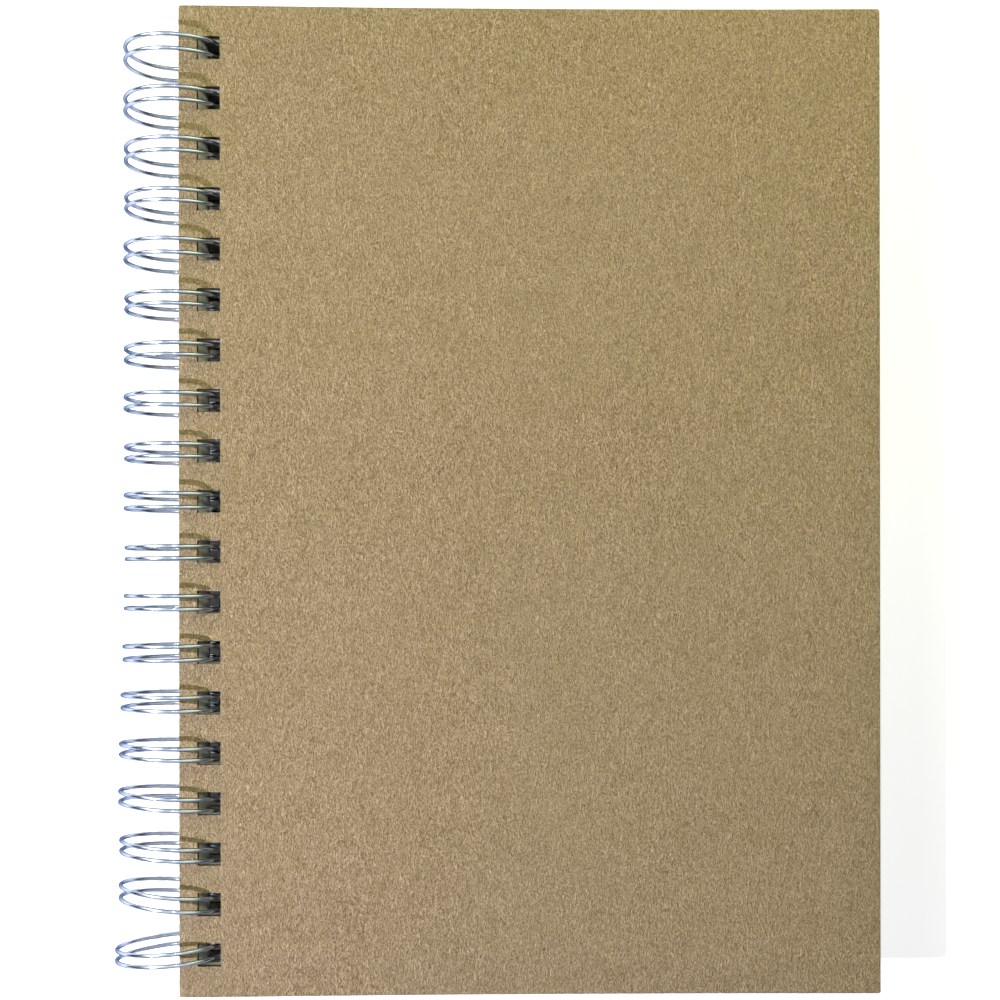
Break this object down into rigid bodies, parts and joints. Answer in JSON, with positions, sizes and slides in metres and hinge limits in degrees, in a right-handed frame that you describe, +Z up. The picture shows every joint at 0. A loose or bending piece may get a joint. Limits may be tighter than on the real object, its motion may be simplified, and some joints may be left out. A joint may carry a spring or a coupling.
{
  "type": "spiral notebook",
  "caption": "Wire-bound notebook with plain kraft board covers and a stack of blank sheets on a row of twin wire loops along the left edge.",
  "frame": {"origin": "under the middle of the object, level with the lowest point of the wire loops", "axes": "+X from the spine to the fore edge, +Y along the spine to the head of the book, +Z up out of the front cover"},
  "size_m": [0.1938, 0.25, 0.0281],
  "materials": {
    "kraft_board": "matt kraft paper over board",
    "paper": "matt uncoated",
    "wire": "bright drawn wire"
  },
  "bodies": {
    "base": {"back_cover": "kraft_board", "twin_loop_wire": "wire"},
    "pages": {"page_block": "paper"},
    "front": {"front_cover": "kraft_board"}
  },
  "joints": [
    {"name": "back_cover_hinge", "type": "hinge", "parent": "base", "child": "pages", "pos_m": [-0.08349, 0, 0.01405], "axis": [0, -1, 0], "range_deg": [0, 180]},
    {"name": "front_cover_hinge", "type": "hinge", "parent": "pages", "child": "front", "pos_m": [-0.08349, 0, 0.01405], "axis": [0, -1, 0], "range_deg": [0, 180]}
  ]
}
